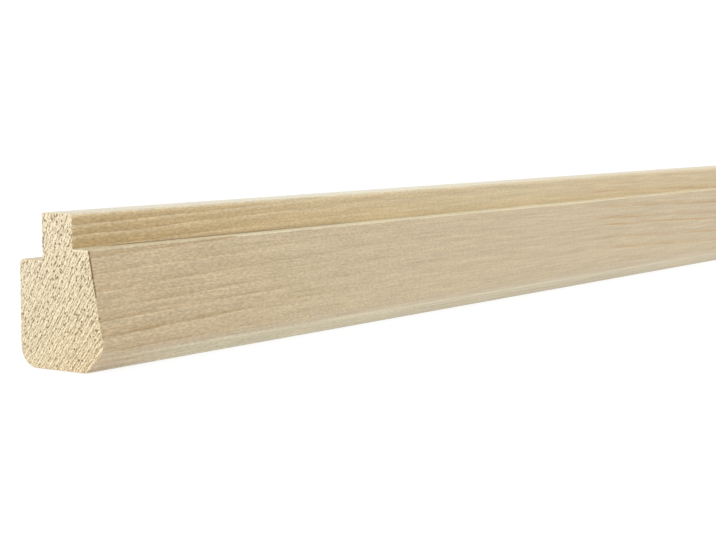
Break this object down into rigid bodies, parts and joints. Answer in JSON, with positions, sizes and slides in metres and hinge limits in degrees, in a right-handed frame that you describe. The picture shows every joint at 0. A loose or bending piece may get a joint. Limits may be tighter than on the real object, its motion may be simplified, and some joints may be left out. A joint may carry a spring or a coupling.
{
  "type": "picture frame moulding",
  "caption": "Straight length of unfinished hardwood picture frame moulding: a leaning sight edge with a chamfer, a rabbet for glass and picture, and a tongue and step at the back.",
  "frame": {"origin": "middle of the underside, which is the flat face of the frame, at the stick's half length", "axes": "+X along the stick, +Y from the sight edge to the outer side, +Z from the face to the back"},
  "size_m": [1.2192, 0.0318, 0.0444],
  "materials": {
    "wood": "matte"
  },
  "bodies": {
    "root": {"moulding": "wood"}
  },
  "joints": []
}
